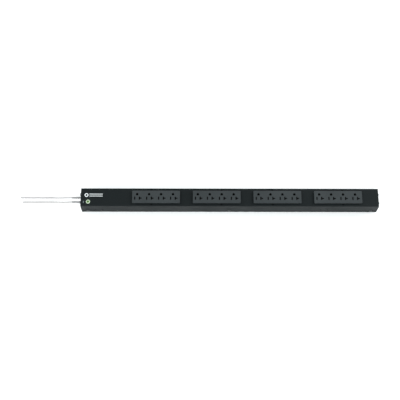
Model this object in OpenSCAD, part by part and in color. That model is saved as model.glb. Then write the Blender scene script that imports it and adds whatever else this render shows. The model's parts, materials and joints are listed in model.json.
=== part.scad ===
// Rack power strip: a long steel case with four banks of four outlets.
// It lies on its back. +X runs along the case, away from the leads, +Y across
// the outlet face towards the earth holes, and +Z out of the outlet face.
// The origin is the centre of the back face. All sizes are in millimetres.

/* [Case] */
// Length of the case
case_length = 812.8; // [800:0.1:840]
// Width of the outlet face
case_width = 52.4; // [50:0.1:56]
// Depth from the back face to the outlet face
case_depth = 44.45; // [44:0.05:52]
// Thickness of the steel sheet of the cover, back tray and end plates
sheet = 1.5; // [1:0.1:2]
// Outer radius of the cover's two long bends
bend_radius = 1.8; // [1.6:0.1:3]
// Height of the back tray's side flanges
tray_flange_height = 24; // [22:0.5:28]
// Height of the side screws above the back face
side_screw_height = 11.2; // [9:0.1:14]
// Distance from the middle of the case to its outer side screws
side_screw_reach = 389; // [380:0.5:392]
// Diameter of the side screws' heads
side_screw_head = 8.5; // [7:0.1:9]
// Height of the end plate screws above the back face
end_screw_height = 32; // [30:0.5:36]
// Distance between the two screws of an end plate
end_screw_spacing = 23.6; // [20:0.2:28]
// Diameter of the end plate screws' heads
end_screw_head = 9.5; // [7:0.1:10]

/* [Side mounting holes] */
// Distance between the two holes of a pair
mount_spacing = 19.05; // [19:0.05:20]
// Diameter of a mounting hole
mount_hole = 4; // [3.4:0.1:4.4]
// Height of the mounting holes above the back face
mount_height = 18.2; // [16:0.1:19]
// Middle of the pair near the leads
mount_left_x = -358.5; // [-362:0.1:-350]
// Middle of the pair at the other end
mount_right_x = 259.9; // [240:0.1:262]

/* [Outlet banks] */
// Middle of the first bank
first_bank_x = -200.7; // [-202:0.1:-198]
// Distance from one bank to the next
bank_pitch = 165.5; // [162:0.1:166]
// Length of a bank's raised face
bank_length = 130.4; // [130:0.1:134]
// Width of a bank's raised face
bank_width = 35.5; // [35:0.1:36]
// How far a bank stands proud of the case
bank_rise = 4.5; // [2:0.1:6]
// Play between a bank and its window in the cover
window_play = 0.6; // [0.3:0.1:1]

/* [Outlets] */
// Distance from one outlet to the next
outlet_pitch = 32.6; // [32:0.1:33]
// Distance that the outlets sit off the middle of their bank
outlet_shift = -2.65; // [-3:0.05:0]
// Distance between the two blade slots
blade_spacing = 12.7; // [12.6:0.1:12.8]
// Distance from the blade slots' middle to the earth hole's middle
earth_offset = 11.9; // [11.8:0.1:12]
// Place of the blade slots across the face
slot_y = -4.5; // [-5:0.1:-4]
// Width of a blade slot
slot_width = 2.6; // [2:0.1:2.8]
// Length of a blade slot
slot_length = 8.2; // [7.2:0.1:8.4]
// Width of the earth hole
earth_width = 6; // [5.2:0.1:6.2]

/* [Pilot lamp] */
// Place of the lamp along the case
lamp_x = -386; // [-388:0.5:-382]
// Place of the lamp across the face
lamp_y = -13.5; // [-14:0.5:-12]
// Diameter of the lamp's bezel
bezel_diameter = 11.4; // [11:0.1:13]
// Diameter of the lamp's lens
lens_diameter = 6.2; // [6:0.1:7]

/* [Leads] */
// Diameter of a lead
lead_diameter = 4; // [3.8:0.1:4.2]
// Distance between the two leads where they leave the case
lead_spacing = 12.8; // [12.4:0.1:13]
// Height of the leads' exits above the back face
lead_height = 22.2; // [20:0.1:24]
// Length of the ribbed sleeve outside the case
sleeve_length = 26; // [25.5:0.5:28]
// Diameter of a sleeve's ribs
sleeve_diameter = 6.4; // [6:0.1:7]

/* [Hidden] */
$fn = 48;

half_length = case_length / 2;
half_width = case_width / 2;
gap = 0.1;
// How far a cut runs past the face that it opens
over = 1;
inner_half_width = half_width - sheet;
inner_top = case_depth - sheet;
plate_inner_x = half_length - sheet;
sides = [-1, 1];

// Colours
black_steel = [0.15, 0.17, 0.17];
bank_grey = [0.27, 0.29, 0.3];
dark_plastic = [0.12, 0.12, 0.13];
zinc = [0.62, 0.63, 0.65];
brass = [0.8, 0.65, 0.3];
ink_white = [0.93, 0.94, 0.94];
lead_grey = [0.85, 0.85, 0.86];
sleeve_grey = [0.62, 0.62, 0.64];
liner_cream = [0.86, 0.84, 0.78];
terminal_cream = [0.83, 0.82, 0.76];
bezel_green = [0.72, 0.84, 0.7];
lens_green = [0.4, 0.62, 0.3];
ink_grey = [0.45, 0.48, 0.49];
wire_black = [0.08, 0.08, 0.08];
wire_white = [0.9, 0.9, 0.88];
wire_green = [0.15, 0.5, 0.2];
wire_red = [0.75, 0.2, 0.15];

// Screws, rivets and nuts
screw_play = 0.1;
side_screw_radius = 2;
side_screw_length = 7;
side_screw_head_height = 2;
end_screw_radius = 2;
end_screw_length = 7;
end_screw_head_height = 3;
screw_recess_depth = 1.2;
screw_recess_share = 0.25;
screw_crown_share = 0.7;
mount_nut_radius = 3.6;
mount_nut_length = 3;
rivet_radius = 1.6;
rivet_head_radius = 2.8;
rivet_head_height = 1;
rivet_spacing = 24;

// Places of the side screws and of the side mounting holes along the case
side_screw_xs = [-side_screw_reach, 0, side_screw_reach];
mount_xs = [
    for (middle = [mount_left_x, mount_right_x], side = sides)
        middle + side * mount_spacing / 2
];

// End brackets
bracket_sheet = 2;
bracket_half_width = 17;
bracket_height = 38;
bracket_foot = 16;

// Insulating sheet on the tray's floor
liner_thickness = 0.5;
liner_half_width = 21.5;
liner_start_x = -316;
liner_end_x = 384;

// Outlet banks
banks = [0:3];
outlet_steps = [-1.5, -0.5, 0.5, 1.5];
earth_y = slot_y + earth_offset;
bank_corner = 2;
bank_top = case_depth + bank_rise;
rim_top = inner_top - gap;
rim_thickness = 2.4;
rim_bottom = rim_top - rim_thickness;
rim_half_width = inner_half_width - 0.5;
rim_overhang = 2.5;
face_plate_bottom = bank_top - 6.5;
core_inset = 1.5;
core_half_length = bank_length / 2 - core_inset;
core_half_width = 16.5;
housing_joint = 30;
housing_bottom = 17;
housing_wall = 2;
bank_screw_x = 12.9;
bank_screw_y = 20.8;
bank_screw_radius = 1.25;
bank_screw_head = 2.4;
bank_screw_head_height = 1.2;
bank_screw_length = 7;
bank_screw_sunk = 0.2;
bank_socket_radius = 1;
bank_socket_depth = 1;
t_stem = 5.6;

// Contacts and bus strips inside a bank
leaf_thickness = 0.8;
blade_gap = 1.7;
earth_gap = 4.7;
leaf_bottom = 20.5;
leaf_top = 40;
strip_thickness = 1;
strip_height = 6;
line_strip_y = -12.4;
neutral_strip_y = 2;
earth_strip_y = 13.4;
strip_reach = bank_length / 2 + 4;
pocket_play = 0.8;
strip_play = 0.5;
housing_screw_x = [-1, 1];
housing_screw_y = -5;
housing_screw_radius = 1.25;
housing_screw_head = 2.4;
housing_screw_head_height = 1.8;
housing_screw_length = 20;
housing_screw_bore = 8;
housing_post_radius = 3;

// Wires inside the case
wire_diameter = 3;
wire_sides = 8;
tab_x = strip_reach - 1.5;
wire_z = leaf_bottom + strip_height / 2;
thin_wire = 1.2;

// Terminal block
terminal_x = -360;
terminal_length = 28;
terminal_half_width = 15;
terminal_bottom = sheet;
terminal_top = 18;
terminal_wire_z = 9;
pole_y = [-7, 7];
insert_half_width = 3.4;
insert_length = 22;
terminal_screw_x = [-6, 6];
terminal_screw_radius = 1.75;
terminal_screw_head = 2.8;
terminal_well = 13.2;
terminal_screw_head_height = 2;
terminal_bore_play = 0.6;
terminal_head_play = 0.2;

// Earth stud
stud_x = -328;
stud_y = 13;
stud_radius = 2.5;
stud_height = 12;
stud_collar_radius = 4;
lug_z = sheet + 1.5;
lug_radius = 5;
lug_thickness = 1.2;
lug_tongue_length = 14;
lug_tongue_half_width = 2.5;
earth_nut_height = 4;
earth_nut_radius = 4.6;

// Pilot lamp
bezel_height = 1.8;
lamp_hole_radius = 4.5;
lamp_barrel_radius = 4.3;
lamp_barrel_bottom = 36;
lamp_body_bottom = 25;
lamp_nut_radius = 6.6;
lamp_nut_thickness = 2.4;
lens_rise = 2.4;
lens_depth = 3;
lens_taper = 2;
bezel_taper = 1.6;
lamp_wire_y = [-2, 2];
lamp_wire_bore = 4;

// Printed marks
ink = 0.1;
mark_ring_x = -390.9;
mark_ring_y = 6;
mark_ring_outer = 5.3;
mark_ring_inner = 3;
mark_bar_start = -383;
mark_bar_end = -346.6;
mark_bar_height = 1.6;
mark_bar_offset = 2.9;
lamp_mark_x = -398.5;
lamp_mark_width = 2.4;
lamp_mark_height = 5.6;
lamp_mark_drop = 0.7;
lamp_mark_corner = 0.8;

// Lead sleeves
spigot_radius = 3;
sleeve_flange_radius = 4.2;
sleeve_flange = 1.6;
sleeve_ribs = 7;
sleeve_core_radius = 2.6;
sleeve_rib_pitch = 3.2;
sleeve_rib_width = 1.8;
sleeve_rib_taper = 0.15;
sleeve_rib_start = 2.6;
sleeve_inside = 8;
sleeve_nut_radius = 5;
sleeve_nut_length = 2.5;

// Routes of the two leads, from inside the end plate to the free end. Each
// leaves straight, comes down on to the surface and lies along it.
lead_sides = 10;
upper_route = [
    [-399, 6.4, 22.2], [-406, 6.4, 22.2], [-414, 6.4, 22.2],
    [-422, 6.4, 22.2], [-431, 6.4, 22.2], [-438, 6.4, 21.8],
    [-446, 6.8, 20.3], [-454, 7.7, 17.8], [-462, 8.9, 14.5],
    [-470, 10.3, 11], [-478, 11.6, 7.8], [-486, 12.6, 5.1],
    [-494, 13.4, 3.2], [-502, 13.8, 2.3], [-510, 13.9, 2],
    [-520, 14, 2], [-530, 14, 2], [-540, 14, 2],
    [-550, 14, 2], [-560, 14.1, 2], [-570, 14.1, 2],
    [-579, 14.1, 2]
];
lower_route = [
    [-399, -6.4, 22.2], [-406, -6.4, 22.2], [-414, -6.4, 22.2],
    [-422, -6.4, 22.2], [-431, -6.4, 22.2], [-438, -6.4, 21.8],
    [-446, -6, 20.3], [-454, -5.1, 17.8], [-462, -3.9, 14.5],
    [-470, -2.5, 11], [-478, -1.3, 7.8], [-486, -0.3, 5.1],
    [-494, 0.4, 3.2], [-502, 0.7, 2.3], [-510, 0.8, 2],
    [-520, 0.8, 2], [-530, 0.8, 2], [-540, 0.7, 2],
    [-550, 0.7, 2], [-560, 0.7, 2], [-572.5, 0.7, 2]
];

function bank_x(i) = first_bank_x + i * bank_pitch;
function outlet_x(i, step) = bank_x(i) + outlet_shift + step * outlet_pitch;

// Box between two corners
module block(low, high) {
    translate(low)
        cube(high - low);
}

// Direction of a route at point i
function heading(route, i) =
    let (back = route[max(i - 1, 0)], ahead = route[min(i + 1, len(route) - 1)])
    (ahead - back) / norm(ahead - back);

// Ring of points about point i, in the plane across the route. No route runs
// straight along Y.
function ring(route, i, radius, count) =
    let (along = heading(route, i),
        across = cross(along, [0, 1, 0]) / norm(cross(along, [0, 1, 0])),
        up = cross(across, along))
    [for (k = [0:count - 1])
        route[i] + radius * (cos(360 * (k + 0.5) / count) * across
            + sin(360 * (k + 0.5) / count) * up)];

// Closed tube along a route
module tube(route, diameter, count) {
    last = len(route) - 1;
    points = [for (i = [0:last]) each ring(route, i, diameter / 2, count)];
    walls = [
        for (i = [0:last - 1], k = [0:count - 1])
            [i * count + k, i * count + (k + 1) % count,
            (i + 1) * count + (k + 1) % count, (i + 1) * count + k]
    ];
    near_end = [for (k = [count - 1:-1:0]) k];
    far_end = [for (k = [0:count - 1]) last * count + k];
    polyhedron(points, concat(walls, [near_end, far_end]), convexity = 4);
}

// Outline with round corners
module round_outline(length, width, radius) {
    square([length - 2 * radius, width], center = true);
    square([length, width - 2 * radius], center = true);
    for (x = sides, y = sides)
        translate([x * (length / 2 - radius), y * (width / 2 - radius)])
            circle(radius);
}

// Flat plate with round corners, from z_low to z_high
module round_plate(length, width, radius, z_low, z_high) {
    translate([0, 0, z_low])
        linear_extrude(z_high - z_low)
            round_outline(length, width, radius);
}

// Pan head screw along +Z: its head stands on z = 0 and its shank goes down
module pan_screw(head_radius, head_height, shank_radius, shank_length) {
    crown = head_height / 2;
    difference() {
        union() {
            cylinder(h = crown, r = head_radius);
            translate([0, 0, crown])
                cylinder(h = crown, r1 = head_radius, r2 = head_radius * screw_crown_share);
            translate([0, 0, -shank_length])
                cylinder(h = shank_length, r = shank_radius);
        }
        for (turn = [0, 90])
            rotate(turn)
                translate([0, 0, head_height])
                    cube([head_radius, head_radius * screw_recess_share,
                        screw_recess_depth * 2], center = true);
    }
}

// Hole along Y through one side wall; side is -1 or 1
module side_hole(x, z, side, radius) {
    translate([x, side * (half_width + over), z])
        rotate([side * 90, 0, 0])
            cylinder(h = half_width / 2, r = radius);
}

module side_screw_holes(radius) {
    for (x = side_screw_xs, side = sides)
        side_hole(x, side_screw_height, side, radius);
}

module mount_holes() {
    for (x = mount_xs)
        side_hole(x, mount_height, -1, mount_hole / 2);
}

// Section of the cover across its length
module cover_section() {
    difference() {
        union() {
            translate([-half_width, 0])
                square([case_width, case_depth - bend_radius]);
            translate([-half_width + bend_radius, 0])
                square([case_width - 2 * bend_radius, case_depth]);
            for (side = sides)
                translate([side * (half_width - bend_radius), case_depth - bend_radius])
                    circle(bend_radius);
        }
        translate([-inner_half_width, -over])
            square([2 * inner_half_width, inner_top + over]);
    }
}

module cover() {
    color(black_steel)
        difference() {
            translate([-half_length, 0, 0])
                rotate([90, 0, 90])
                    linear_extrude(case_length)
                        cover_section();
            for (i = banks)
                translate([bank_x(i), 0, 0])
                    round_plate(bank_length + 2 * window_play, bank_width + 2 * window_play,
                        bank_corner + window_play, inner_top - over, case_depth + over);
            for (i = banks, side = sides)
                translate([bank_screw_place(i), side * bank_screw_y, 0])
                    bank_screw_sink();
            translate([lamp_x, lamp_y, inner_top - over])
                cylinder(h = sheet + 2 * over, r = lamp_hole_radius);
            side_screw_holes(side_screw_radius + screw_play);
            mount_holes();
        }
}

// The screws of odd and even banks sit on opposite sides of the bank's middle
function bank_screw_place(i) = bank_x(i) + (i % 2 == 0 ? -1 : 1) * bank_screw_x;

// Countersunk hole of a bank screw in the cover
module bank_screw_sink() {
    translate([0, 0, inner_top - over])
        cylinder(h = sheet + 2 * over, r = bank_screw_radius + screw_play);
    translate([0, 0, case_depth - bank_screw_head_height])
        cylinder(h = bank_screw_head_height, r1 = bank_screw_radius + screw_play,
            r2 = bank_screw_head + screw_play);
}

module back_tray() {
    tray_half_width = inner_half_width - gap;
    color(black_steel)
        difference() {
            block([-plate_inner_x, -tray_half_width, 0],
                [plate_inner_x, tray_half_width, tray_flange_height]);
            block([-half_length, -tray_half_width + sheet, sheet],
                [half_length, tray_half_width - sheet, tray_flange_height + over]);
            side_screw_holes(side_screw_radius + screw_play);
            mount_holes();
            for (end = sides)
                rivet_places(end)
                    rivet_shape(screw_play);
            translate([stud_x, stud_y, -over])
                cylinder(h = sheet + 2 * over, r = stud_radius);
        }
}

// Places of the end plate screws, pointing out of the end; end is -1 or 1
module end_screw_places(end) {
    for (side = sides)
        translate([end * half_length, side * end_screw_spacing / 2, end_screw_height])
            rotate([0, end * 90, 0])
                children();
}

// Holes along X at the two lead exits
module lead_holes(radius) {
    for (side = sides)
        translate([-half_length - over, side * lead_spacing / 2, lead_height])
            rotate([0, 90, 0])
                cylinder(h = sleeve_inside + over, r = radius);
}

module end_plate(end) {
    plate_half_width = inner_half_width - gap;
    color(black_steel)
        difference() {
            block([end < 0 ? -half_length : plate_inner_x, -plate_half_width, 0],
                [end < 0 ? -plate_inner_x : half_length, plate_half_width, inner_top - gap]);
            end_screw_places(end)
                translate([0, 0, -sheet - over])
                    cylinder(h = sheet + 2 * over, r = end_screw_radius + screw_play);
            if (end < 0)
                lead_holes(spigot_radius + screw_play);
        }
}

// Angle inside each end that the end plate is screwed to
module end_bracket(end) {
    outer = plate_inner_x;
    color(zinc)
        difference() {
            union() {
                block([min(end * outer, end * (outer - bracket_sheet)), -bracket_half_width, sheet],
                    [max(end * outer, end * (outer - bracket_sheet)), bracket_half_width,
                    bracket_height]);
                block([min(end * outer, end * (outer - bracket_foot)), -bracket_half_width, sheet],
                    [max(end * outer, end * (outer - bracket_foot)), bracket_half_width,
                    sheet + bracket_sheet]);
            }
            end_screw_places(end)
                translate([0, 0, -sheet - bracket_sheet - over])
                    cylinder(h = bracket_sheet + 2 * over, r = end_screw_radius + screw_play);
            rivet_places(end)
                rivet_shape(screw_play);
            if (end < 0)
                lead_holes(spigot_radius + screw_play);
        }
}

// Places of the two rivets in an end bracket's foot
module rivet_places(end) {
    for (side = sides)
        translate([end * (plate_inner_x - bracket_foot / 2 - bracket_sheet / 2),
            side * rivet_spacing / 2, 0])
            children();
}

// Rivet with a head sunk in the back face and a button on the bracket's foot
module rivet_shape(play) {
    foot_top = sheet + bracket_sheet;
    cylinder(h = foot_top, r = rivet_radius + play);
    cylinder(h = rivet_head_height, r1 = rivet_head_radius + play, r2 = rivet_radius + play);
    if (play == 0)
        translate([0, 0, foot_top])
            cylinder(h = rivet_head_height, r1 = rivet_head_radius, r2 = rivet_radius);
}

module bracket_rivets() {
    color(zinc)
        for (end = sides)
            rivet_places(end)
                rivet_shape(0);
}

module end_plate_screws() {
    color(black_steel)
        for (end = sides)
            end_screw_places(end)
                pan_screw(end_screw_head / 2, end_screw_head_height, end_screw_radius,
                    end_screw_length);
}

module cover_screws() {
    color(black_steel)
        for (x = side_screw_xs, side = sides)
            translate([x, side * half_width, side_screw_height])
                rotate([-side * 90, 0, 0])
                    pan_screw(side_screw_head / 2, side_screw_head_height, side_screw_radius,
                        side_screw_length);
}

// Press nuts behind the side mounting holes
module mount_nuts() {
    flange_inner_y = -inner_half_width + gap + sheet;
    color(zinc)
        difference() {
            for (x = mount_xs)
                translate([x, flange_inner_y, mount_height])
                    rotate([-90, 0, 0])
                        cylinder(h = mount_nut_length, r = mount_nut_radius);
            mount_holes();
        }
}

module insulator_sheet() {
    color(liner_cream)
        block([liner_start_x, -liner_half_width, sheet],
            [liner_end_x, liner_half_width, sheet + liner_thickness]);
}

// Front opening of one outlet, cut from z_low upwards
module outlet_opening(z_low) {
    height = bank_top + over - z_low;
    translate([0, 0, z_low])
        linear_extrude(height) {
            for (side = sides)
                translate([side * blade_spacing / 2, slot_y])
                    square([slot_width, slot_length], center = true);
            translate([blade_spacing / 2, slot_y - slot_width / 2])
                square([t_stem, slot_width]);
            translate([0, earth_y])
                circle(d = earth_width);
            translate([-earth_width / 2, earth_y - earth_width / 2])
                square([earth_width, earth_width / 2]);
        }
}

// Room for the contacts behind one outlet
module contact_pockets(z_low, z_high) {
    blade_half = blade_gap / 2 + leaf_thickness + pocket_play;
    earth_half = earth_gap / 2 + leaf_thickness + pocket_play;
    block([-blade_spacing / 2 - blade_half, line_strip_y - strip_thickness, z_low],
        [-blade_spacing / 2 + blade_half, slot_y + slot_length / 2 + pocket_play, z_high]);
    block([blade_spacing / 2 - blade_half, slot_y - slot_length / 2 - pocket_play, z_low],
        [blade_spacing / 2 + t_stem, neutral_strip_y + strip_thickness, z_high]);
    block([-earth_half, earth_y - earth_width / 2 - pocket_play, z_low],
        [earth_half, earth_strip_y + strip_thickness, z_high]);
}

// Upper half of a bank's housing, with the raised face
module outlet_face(i) {
    color(bank_grey)
        difference() {
            translate([bank_x(i), 0, 0])
                union() {
                    round_plate(bank_length, bank_width, bank_corner, rim_bottom, bank_top);
                    round_plate(bank_length + 2 * rim_overhang, 2 * rim_half_width, bank_corner,
                        rim_bottom, rim_top);
                    block([-core_half_length, -core_half_width, housing_joint],
                        [core_half_length, core_half_width, rim_bottom]);
                }
            for (step = outlet_steps)
                translate([outlet_x(i, step), 0, 0]) {
                    outlet_opening(face_plate_bottom - over);
                    contact_pockets(housing_joint - over, face_plate_bottom);
                }
            for (side = sides)
                translate([bank_screw_place(i), side * bank_screw_y, rim_bottom - over])
                    cylinder(h = rim_thickness + 2 * over, r = bank_screw_radius + screw_play);
            for (step = housing_screw_x)
                translate([outlet_x(i, step), housing_screw_y, housing_joint - over])
                    cylinder(h = housing_screw_bore + over, r = housing_screw_radius + screw_play);
        }
}

// Lower half of a bank's housing, which holds the bus strips
module outlet_back(i) {
    color(dark_plastic)
        translate([bank_x(i), 0, 0])
            difference() {
                union() {
                    difference() {
                        block([-core_half_length, -core_half_width, housing_bottom],
                            [core_half_length, core_half_width, housing_joint]);
                        block([-core_half_length + housing_wall, -core_half_width + housing_wall,
                            housing_bottom + housing_wall],
                            [core_half_length - housing_wall, core_half_width - housing_wall,
                            housing_joint + over]);
                    }
                    for (step = housing_screw_x)
                        translate([outlet_shift + step * outlet_pitch, housing_screw_y,
                            housing_bottom])
                            cylinder(h = housing_joint - housing_bottom, r = housing_post_radius);
                }
                for (step = housing_screw_x)
                    translate([outlet_shift + step * outlet_pitch, housing_screw_y,
                        housing_bottom - over])
                        cylinder(h = housing_joint, r = housing_screw_radius + screw_play);
                for (y = [line_strip_y, neutral_strip_y, earth_strip_y])
                    block([-core_half_length - over, y - strip_thickness, leaf_bottom - strip_play],
                        [core_half_length + over, y + strip_thickness,
                        leaf_bottom + strip_height + strip_play]);
            }
}

// Bus strip along a bank at y, with a pair of contact leaves for each outlet.
// leaf_x is the pair's place from its outlet and leaf_gap the room between them.
module bus(i, y, leaf_x, leaf_gap, leaf_low_y, leaf_high_y) {
    color(brass) {
        translate([bank_x(i), y, 0])
            block([-strip_reach, -strip_thickness / 2, leaf_bottom],
                [strip_reach, strip_thickness / 2, leaf_bottom + strip_height]);
        for (step = outlet_steps, side = sides)
            translate([outlet_x(i, step) + leaf_x + side * (leaf_gap + leaf_thickness) / 2, 0, 0])
                block([-leaf_thickness / 2, leaf_low_y, leaf_bottom],
                    [leaf_thickness / 2, leaf_high_y, leaf_top]);
    }
}

module line_bus(i) {
    bus(i, line_strip_y, -blade_spacing / 2, blade_gap, line_strip_y,
        slot_y + slot_length / 2);
}

module neutral_bus(i) {
    bus(i, neutral_strip_y, blade_spacing / 2, blade_gap, slot_y - slot_length / 2,
        neutral_strip_y);
}

module earth_bus(i) {
    bus(i, earth_strip_y, 0, earth_gap, earth_y - earth_width / 2, earth_strip_y);
}

// Countersunk screws that hold the banks under the cover
module bank_screws() {
    color(dark_plastic)
        for (i = banks, side = sides)
            translate([bank_screw_place(i), side * bank_screw_y, case_depth - bank_screw_sunk])
                difference() {
                    union() {
                        translate([0, 0, -bank_screw_head_height])
                            cylinder(h = bank_screw_head_height, r1 = bank_screw_radius,
                                r2 = bank_screw_head);
                        translate([0, 0, -bank_screw_length])
                            cylinder(h = bank_screw_length, r = bank_screw_radius);
                    }
                    translate([0, 0, -bank_socket_depth])
                        cylinder(h = bank_socket_depth + over, r = bank_socket_radius, $fn = 6);
                }
}

// Screws that hold the two halves of each bank's housing together
module housing_screws() {
    color(zinc)
        for (i = banks, step = housing_screw_x)
            translate([outlet_x(i, step), housing_screw_y, housing_bottom])
                rotate([180, 0, 0])
                    pan_screw(housing_screw_head, housing_screw_head_height,
                        housing_screw_radius, housing_screw_length);
}

// Feed from the terminal block or stud, and jumpers between the banks
module bus_wires(y, feed) {
    wire_y = y + strip_thickness / 2 + wire_diameter / 2;
    tube(concat(feed, [
        [bank_x(0) - strip_reach - 12, wire_y, wire_z - 0.8],
        [bank_x(0) - strip_reach - 6, wire_y, wire_z],
        [bank_x(0) - tab_x, wire_y, wire_z]
    ]), wire_diameter, wire_sides);
    for (i = [0:2])
        tube([
            [bank_x(i) + tab_x, wire_y, wire_z],
            [bank_x(i + 1) - tab_x, wire_y, wire_z]
        ], wire_diameter, wire_sides);
}

module line_wires() {
    color(wire_black)
        bus_wires(line_strip_y, [
            [terminal_x + 3, pole_y[0], terminal_wire_z],
            [terminal_x + 18, pole_y[0], terminal_wire_z],
            [terminal_x + 26, -8, 10.5], [terminal_x + 36, -9.5, 13.5],
            [terminal_x + 50, -10.4, 17.5], [terminal_x + 62, -10.4, 20.5]
        ]);
}

module neutral_wires() {
    color(wire_white)
        bus_wires(neutral_strip_y, [
            [terminal_x + 3, pole_y[1], terminal_wire_z],
            [terminal_x + 16, pole_y[1], terminal_wire_z],
            [terminal_x + 24, 5.5, 11], [terminal_x + 34, 4, 14.5],
            [terminal_x + 48, 4, 18.5], [terminal_x + 62, 4, 21]
        ]);
}

module earth_wires() {
    color(wire_green)
        bus_wires(earth_strip_y, [
            [stud_x + 8, stud_y, lug_z + lug_thickness + wire_diameter / 2],
            [stud_x + 14, stud_y, lug_z + lug_thickness + wire_diameter / 2 + 0.6],
            [stud_x + 20, stud_y + 0.6, 9.5], [stud_x + 28, stud_y + 1.8, 16]
        ]);
}

module earth_stud() {
    color(zinc) {
        cylinder_at_stud(0, stud_height, stud_radius - gap / 2);
        cylinder_at_stud(sheet, lug_z, stud_collar_radius);
    }
}

// Cylinder about the stud's axis from z_low to z_high
module cylinder_at_stud(z_low, z_high, radius) {
    translate([stud_x, stud_y, z_low])
        cylinder(h = z_high - z_low, r = radius);
}

module earth_lug() {
    color(brass)
        difference() {
            union() {
                cylinder_at_stud(lug_z, lug_z + lug_thickness, lug_radius);
                block([stud_x, stud_y - lug_tongue_half_width, lug_z],
                    [stud_x + lug_tongue_length, stud_y + lug_tongue_half_width,
                    lug_z + lug_thickness]);
            }
            cylinder_at_stud(lug_z - over, lug_z + lug_thickness + over, stud_radius + gap);
        }
}

module earth_nut() {
    nut_z = lug_z + lug_thickness;
    color(zinc)
        difference() {
            translate([stud_x, stud_y, nut_z])
                cylinder(h = earth_nut_height, r = earth_nut_radius, $fn = 6);
            cylinder_at_stud(nut_z - over, nut_z + earth_nut_height + over, stud_radius + gap);
        }
}

// Wire entries through the terminal block's poles
module pole_bores(radius) {
    for (y = pole_y)
        translate([terminal_x - terminal_length / 2 - over, y, terminal_wire_z])
            rotate([0, 90, 0])
                cylinder(h = terminal_length + 2 * over, r = radius);
}

// Upright bores of the terminal screws
module terminal_screw_bores(z_low, z_high, radius) {
    for (x = terminal_screw_x, y = pole_y)
        translate([terminal_x + x, y, z_low])
            cylinder(h = z_high - z_low, r = radius);
}

// Room in the terminal block for the brass inserts, or the inserts themselves
module insert_blocks(play) {
    for (y = pole_y)
        translate([terminal_x, y, terminal_wire_z])
            cube([insert_length + 2 * play, 2 * (insert_half_width + play),
                2 * (insert_half_width + play)], center = true);
}

module terminal_block() {
    color(terminal_cream)
        difference() {
            block([terminal_x - terminal_length / 2, -terminal_half_width, terminal_bottom],
                [terminal_x + terminal_length / 2, terminal_half_width, terminal_top]);
            insert_blocks(gap);
            pole_bores(wire_diameter / 2 + terminal_bore_play);
            terminal_screw_bores(terminal_wire_z, terminal_top + over,
                terminal_screw_head + terminal_head_play);
        }
}

module terminal_inserts() {
    color(brass)
        difference() {
            insert_blocks(0);
            pole_bores(wire_diameter / 2 + gap);
            terminal_screw_bores(terminal_wire_z, terminal_top, terminal_screw_radius + gap);
        }
}

module terminal_screws() {
    shank_bottom = terminal_wire_z + wire_diameter / 2 + 2 * gap;
    color(zinc)
        for (x = terminal_screw_x, y = pole_y)
            translate([terminal_x + x, y, terminal_well])
                pan_screw(terminal_screw_head, terminal_screw_head_height,
                    terminal_screw_radius, terminal_well - shank_bottom);
}

// Point on the axis of the pilot lamp
module at_lamp(z) {
    translate([lamp_x, lamp_y, z])
        children();
}

module lamp_bezel() {
    color(bezel_green)
        difference() {
            union() {
                at_lamp(case_depth)
                    cylinder(h = bezel_height / 2, d = bezel_diameter);
                at_lamp(case_depth + bezel_height / 2)
                    cylinder(h = bezel_height / 2, d1 = bezel_diameter,
                        d2 = bezel_diameter - bezel_taper);
                at_lamp(lamp_barrel_bottom)
                    cylinder(h = case_depth - lamp_barrel_bottom, r = lamp_barrel_radius);
            }
            at_lamp(lamp_barrel_bottom - over)
                cylinder(h = case_depth, d = lens_diameter + 2 * gap);
        }
}

module lamp_lens() {
    color(lens_green) {
        at_lamp(case_depth - lens_depth)
            cylinder(h = lens_depth + bezel_height, d = lens_diameter);
        at_lamp(case_depth + bezel_height)
            cylinder(h = lens_rise - bezel_height, d1 = lens_diameter,
                d2 = lens_diameter - lens_taper);
    }
}

module lamp_body() {
    color(dark_plastic)
        difference() {
            union() {
                at_lamp(lamp_body_bottom)
                    cylinder(h = lamp_barrel_bottom - lamp_body_bottom, r = lamp_barrel_radius);
                at_lamp(lamp_barrel_bottom)
                    cylinder(h = case_depth - lens_depth - lamp_barrel_bottom,
                        d = lens_diameter - 2 * gap);
            }
            for (y = lamp_wire_y)
                translate([lamp_x, lamp_y + y, lamp_body_bottom - over])
                    cylinder(h = lamp_wire_bore + over, d = thin_wire + gap);
        }
}

module lamp_nut() {
    nut_z = inner_top - lamp_nut_thickness;
    color(zinc)
        difference() {
            at_lamp(nut_z)
                cylinder(h = lamp_nut_thickness, r = lamp_nut_radius, $fn = 6);
            at_lamp(nut_z - over)
                cylinder(h = lamp_nut_thickness + 2 * over, r = lamp_barrel_radius + gap);
        }
}

// Two thin wires from the lamp to the terminal block's screws
module lamp_wires() {
    screw_x = terminal_x + terminal_screw_x[0];
    color(wire_red)
        for (k = [0, 1])
            tube([
                [lamp_x, lamp_y + lamp_wire_y[k], lamp_body_bottom + 3],
                [lamp_x, lamp_y + lamp_wire_y[k], lamp_body_bottom - 1],
                [lamp_x + 2, lamp_y + 5 * k - 2, lamp_body_bottom - 3.2],
                [lamp_x + 8, lamp_y + 8 * k, lamp_body_bottom - 4.2],
                [screw_x - 4, pole_y[k] - 3 * k, 20.6],
                [screw_x - 1.2, pole_y[k], 19.6],
                [screw_x, pole_y[k], terminal_well + 4],
                [screw_x, pole_y[k], terminal_well + 2]
            ], thin_wire, wire_sides);
}

// Plain printed ring and two bars
module face_mark() {
    color(ink_white)
        translate([0, 0, case_depth]) {
            translate([mark_ring_x, mark_ring_y, 0])
                difference() {
                    cylinder(h = ink, r = mark_ring_outer);
                    translate([0, 0, -over])
                        cylinder(h = 2 * over, r = mark_ring_inner);
                }
            for (side = sides)
                translate([(mark_bar_start + mark_bar_end) / 2,
                    mark_ring_y + side * mark_bar_offset, 0])
                    linear_extrude(ink)
                        round_outline(mark_bar_end - mark_bar_start, mark_bar_height,
                            mark_bar_height / 3);
        }
}

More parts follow.
